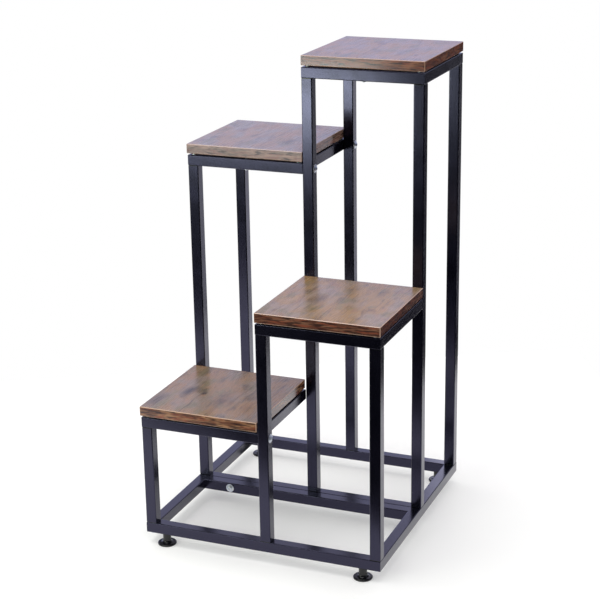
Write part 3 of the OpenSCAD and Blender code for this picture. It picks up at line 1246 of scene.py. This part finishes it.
@dataclass
class Boards:
    """The four boards and the banding round them, from the lowest tier up."""

    bandings: tuple[EdgeBanding, ...] = (
        EdgeBanding("scraped_and_highlit_edge_banding_1", ground="#63402c", dark_from=0.48),
        EdgeBanding("scraped_and_highlit_edge_banding_2", ground="#5e3a29", tan="#7a553e", dark_from=0.45),
        # The third banding is drawn paler and greyer than its print: a painted reflection, standing
        # in for the glare that veils this strip.
        EdgeBanding(
            "scraped_highlit_glare_painted_edge_banding_3",
            ground="#796151",
            tan="#957563",
            red="#7f584a",
            scraped_and_highlight="#ad9483",
            roughness=0.26,
            dark_from=0.52,
        ),
        EdgeBanding(
            "scraped_and_highlit_edge_banding_4",
            ground="#603924",
            tan="#7d4f31",
            scraped_and_highlight="#a3826a",
            dark_from=0.5,
        ),
    )
    prints: tuple[BoardPrint, ...] = (
        BoardPrint(
            "rustic_laminate_1",
            ground="#927356",
            mauve="#89776b",
            olive="#746b52",
            seams=(Seam(-151, -230, -124), Seam(-64, -150, 0)),
            knots=(
                Knot(-176, -130, 13, 30, 0.85),
                Knot(-149, -131, 5, 9, 0.9),
                Knot(-218, -186, 14, 38, 0.55),
                Knot(-99, -154, 22, 40, 0.35),
            ),
        ),
        # The second board's ground, mauve and olive are drawn lighter and warmer than the first's.
        # This is partly painted light, standing in for the extra light on this board.
        BoardPrint(
            "rustic_laminate_2",
            ground="#9e7d56",
            mauve="#958070",
            olive="#7d7154",
            seams=(Seam(116, -230, -49),),
            knots=(
                Knot(75, -120, 16, 32, 0.5),
                Knot(48, -72, 4, 26, 0.5),
                Knot(172, -60, 9, 26, 0.3),
            ),
        ),
        BoardPrint(
            "rustic_laminate_3",
            ground="#8a7058",
            mauve="#847871",
            worn=LONG_PORES,
            raised=LONG_PORES,
            pore_share=0.2,
            streak_share=0.25,
            seams=(Seam(-92, 0, 230),),
            knots=(Knot(-178, 140, 9, 24, 0.3),),
        ),
        BoardPrint(
            "rustic_laminate_4",
            worn=LONG_PORES,
            raised=LONG_PORES,
            pore_share=0.2,
            streak_share=0.25,
            seams=(Seam(100, 0, 230),),
            knots=(Knot(160, 60, 8, 30, 0.3),),
        ),
    )

    def dress(self) -> int:
        """Prints the boards and their banding.

        Returns:
            The number of nodes dressed.
        """
        count = 0
        for tier, board_print, banding in zip(TIERS, self.prints, self.bandings):
            count += dress([f"tier_{tier}_board"], board_print.material())
            count += dress([f"tier_{tier}_edge_band"], banding.material())
        return count


@dataclass
class FeetAndTrim:
    """The moulded feet, the plugs of the legs, the pads and the nuts inside the tubes."""

    plastic: MouldedPlastic = MouldedPlastic("moulded_black_polypropylene")
    vinyl: ClearVinyl = ClearVinyl("clear_soft_vinyl")

    def dress(self, zinc: Material) -> int:
        """Gives the small parts their finishes.

        Args:
            zinc: Finish of the nuts.

        Returns:
            The number of nodes dressed.
        """
        feet = [body.value for body in FEET]
        count = dress([*feet, "leg_plugs"], self.plastic.material())
        count += dress(["corner_pads"], self.vinyl.material())
        return count + dress(["foot_nuts", "tower_nuts"], zinc)


@dataclass(frozen=True)
class Viewpoint:
    """Where the photograph was taken from, fitted to the edges of the tubes and boards."""

    place: tuple[float, float, float] = (1.0536, -2.57795, 1.33567)
    yaw_deg: float = 22.40
    pitch_deg: float = 18.08
    roll_deg: float = -0.95
    focal_px: float = 1591.19

    def build(self) -> None:
        """Makes the camera."""
        yaw, pitch, roll = (math.radians(a) for a in (self.yaw_deg, self.pitch_deg, self.roll_deg))
        ahead = Vector(
            (-math.sin(yaw) * math.cos(pitch), math.cos(yaw) * math.cos(pitch), -math.sin(pitch))
        )
        level = Vector((math.cos(yaw), math.sin(yaw), 0.0))
        above = level.cross(ahead)
        right = math.cos(roll) * level + math.sin(roll) * above
        up = -math.sin(roll) * level + math.cos(roll) * above
        data = bpy.data.cameras.new("viewpoint")
        data.sensor_width = SENSOR_MM
        data.lens = self.focal_px / IMAGE_SIDE_PX * SENSOR_MM
        camera = bpy.data.objects.new("viewpoint", data)
        turn = Matrix((right, up, -ahead)).transposed().to_4x4()
        camera.matrix_world = Matrix.Translation(self.place) @ turn
        bpy.context.scene.collection.objects.link(camera)
        bpy.context.scene.camera = camera


@dataclass(frozen=True)
class Softbox:
    """A flat studio lamp with a soft cover, which shows in reflections and not to the camera."""

    name: str
    place: tuple[float, float, float]
    aim: tuple[float, float, float]
    width: float
    height: float
    brightness: float
    colour: str = "#ffffff"

    def build(self) -> None:
        """Makes the lamp, whose power follows from the brightness of its cover."""
        data = bpy.data.lights.new(self.name, "AREA")
        data.shape = "RECTANGLE"
        data.size = self.width
        data.size_y = self.height
        data.energy = self.brightness * math.pi * self.width * self.height
        data.color = linear(self.colour)[:3]
        lamp = bpy.data.objects.new(self.name, data)
        lamp.location = self.place
        lamp.rotation_mode = "QUATERNION"
        toward = Vector(self.aim) - Vector(self.place)
        lamp.rotation_quaternion = toward.to_track_quat("-Z", "Y")
        lamp.visible_camera = False
        bpy.context.scene.collection.objects.link(lamp)


@dataclass(frozen=True)
class Studio:
    """A sheet of pale paper under a soft lamp, in a white room that is darker behind the camera.

    A low strip light in front draws the shine on the front faces of the tubes, and a pale card at
    the back right the shine on their right faces. The spans say where the room changes, by the
    direction in which it is seen.
    """

    sheet: Point = (2.06, 1.26)
    sheet_middle: Point = (-0.318, 0.018)
    sheet_turn_deg: float = 29.0
    paper: str = "#dfdeda"
    paper_lift: float = 0.29
    fill: float = 0.8
    fill_colour: str = "#f8f8ff"
    wall: str = "#b4bcee"
    right_wall: str = "#8a8ea2"
    ceiling: str = "#aea8ac"
    wall_level: float = 1.42
    dark: str = "#1a1a20"
    far_floor: str = "#2b2933"
    horizon: Span = Span(-0.04, 0.06)
    behind: Span = Span(-0.35, 0.25)
    overhead: Span = Span(0.2, 0.6)
    leftward: Span = Span(0.2, -0.1)
    lamps: tuple[Softbox, ...] = (
        Softbox("overhead", (-0.3, -0.2, 2.6), (0.0, 0.0, 0.4), 2.0, 2.0, 2.8),
        Softbox(
            "front_strip", (-0.814, -1.3, 0.531), (-0.814, 0, 0.531), 0.984, 0.184, 12.2, "#f3ffec"
        ),
        Softbox("rear_card", (0.18, 1.04, 0.35), (0.665, 0.165, 0.35), 0.52, 0.7, 1.0, "#f4f4ff"),
    )

    def build_floor(self) -> None:
        """Lays the sheet of paper, which keeps the stand's shadow and is white elsewhere."""
        pick()
        turn = math.radians(self.sheet_turn_deg)
        bpy.ops.mesh.primitive_plane_add(
            size=1, location=(*self.sheet_middle, 0.0), rotation=(0, 0, turn)
        )
        floor = bpy.context.object
        floor.name = "floor"
        floor.scale = (*self.sheet, 1.0)
        settle(floor)
        material = bpy.data.materials.new("pale_paper")
        material.use_nodes = True
        tree = material.node_tree
        tree.nodes.clear()
        paper = add_node(tree, "ShaderNodeBsdfDiffuse", {"Color": linear(self.paper)})
        shown = self.is_ray(tree, "Is Camera Ray", "Is Glossy Ray", "Is Transmission Ray")
        share = {0: shown, 1: self.paper_lift}
        seen = add_node(tree, "ShaderNodeMath", share, operation="MULTIPLY")
        lift = add_node(tree, "ShaderNodeEmission", {"Strength": seen.outputs["Value"]})
        layers = {0: paper.outputs["BSDF"], 1: lift.outputs["Emission"]}
        both = add_node(tree, "ShaderNodeAddShader", layers)
        add_node(tree, "ShaderNodeOutputMaterial", {"Surface": both.outputs["Shader"]})
        floor.data.materials.append(material)

    @staticmethod
    def is_ray(tree: Tree, *kinds: str) -> Socket:
        """Tells rays of some kinds from all others.

        Args:
            tree: Nodes of a material or of the world.
            *kinds: Names of the Light Path outputs.

        Returns:
            1 for a ray of one of these kinds, and 0 for any other.
        """
        ray = add_node(tree, "ShaderNodeLightPath").outputs
        found = ray[kinds[0]]
        for kind in kinds[1:]:
            either = add_node(tree, "ShaderNodeMath", {0: found, 1: ray[kind]}, operation="MAXIMUM")
            found = either.outputs["Value"]
        return found

    def build_room(self) -> None:
        """Makes the room: white to the eye, and with walls and a dark front in reflections."""
        world = bpy.data.worlds.new("white_room")
        world.use_nodes = True
        tree = world.node_tree
        tree.nodes.clear()
        way = add_node(tree, "ShaderNodeTexCoord").outputs["Generated"]
        side, back, up = add_node(tree, "ShaderNodeSeparateXYZ", {"Vector": way}).outputs
        walls = tint(tree, up, self.overhead, linear(self.wall), linear(self.ceiling))
        walls = tint(tree, side, self.leftward, linear(self.right_wall), walls)
        levels = ((walls, self.wall_level), (linear(self.fill_colour)[:3], self.fill))
        bright, soft = (
            add_node(tree, "ShaderNodeVectorMath", {0: colour, "Scale": level}, operation="SCALE")
            for colour, level in levels
        )
        ground = tint(tree, back, self.behind, linear(self.dark), linear(self.far_floor))
        upper = tint(tree, back, self.behind, ground, bright.outputs["Vector"])
        mirrored = tint(tree, up, self.horizon, ground, upper)
        glossy = self.is_ray(tree, "Is Glossy Ray")
        lit = tint(tree, glossy, MASK, soft.outputs["Vector"], mirrored)
        clear = self.is_ray(tree, "Is Camera Ray", "Is Transmission Ray")
        shown = tint(tree, clear, MASK, lit, linear("#ffffff"))
        room = add_node(tree, "ShaderNodeBackground", {"Color": shown, "Strength": 1.0})
        add_node(tree, "ShaderNodeOutputWorld", {"Surface": room.outputs["Background"]})
        bpy.context.scene.world = world

    def build(self) -> None:
        """Makes the floor, the room and the lamps."""
        self.build_floor()
        self.build_room()
        for lamp in self.lamps:
            lamp.build()


def main() -> None:
    """Builds the viewpoint, the studio and every piece of the stand."""
    logging.basicConfig(level=logging.INFO, format="%(name)s: %(message)s")
    bpy.context.scene.view_settings.view_transform = "Standard"
    Viewpoint().build()
    Studio().build()
    log.info("steel frame: %d tubes", SteelFrame().dress())
    log.info("boards: %d nodes", Boards().dress())
    zinc = ZincPlate("bright_zinc_plate").material()
    log.info("feet and trim: %d nodes", FeetAndTrim().dress(zinc))
    for hardware in (FlangeBolts, BaseNuts, BoardScrews, LegBolts, Studs):
        log.info("%s: %d pieces", hardware.__name__, hardware(zinc).build())


if __name__ == "__main__":
    main()
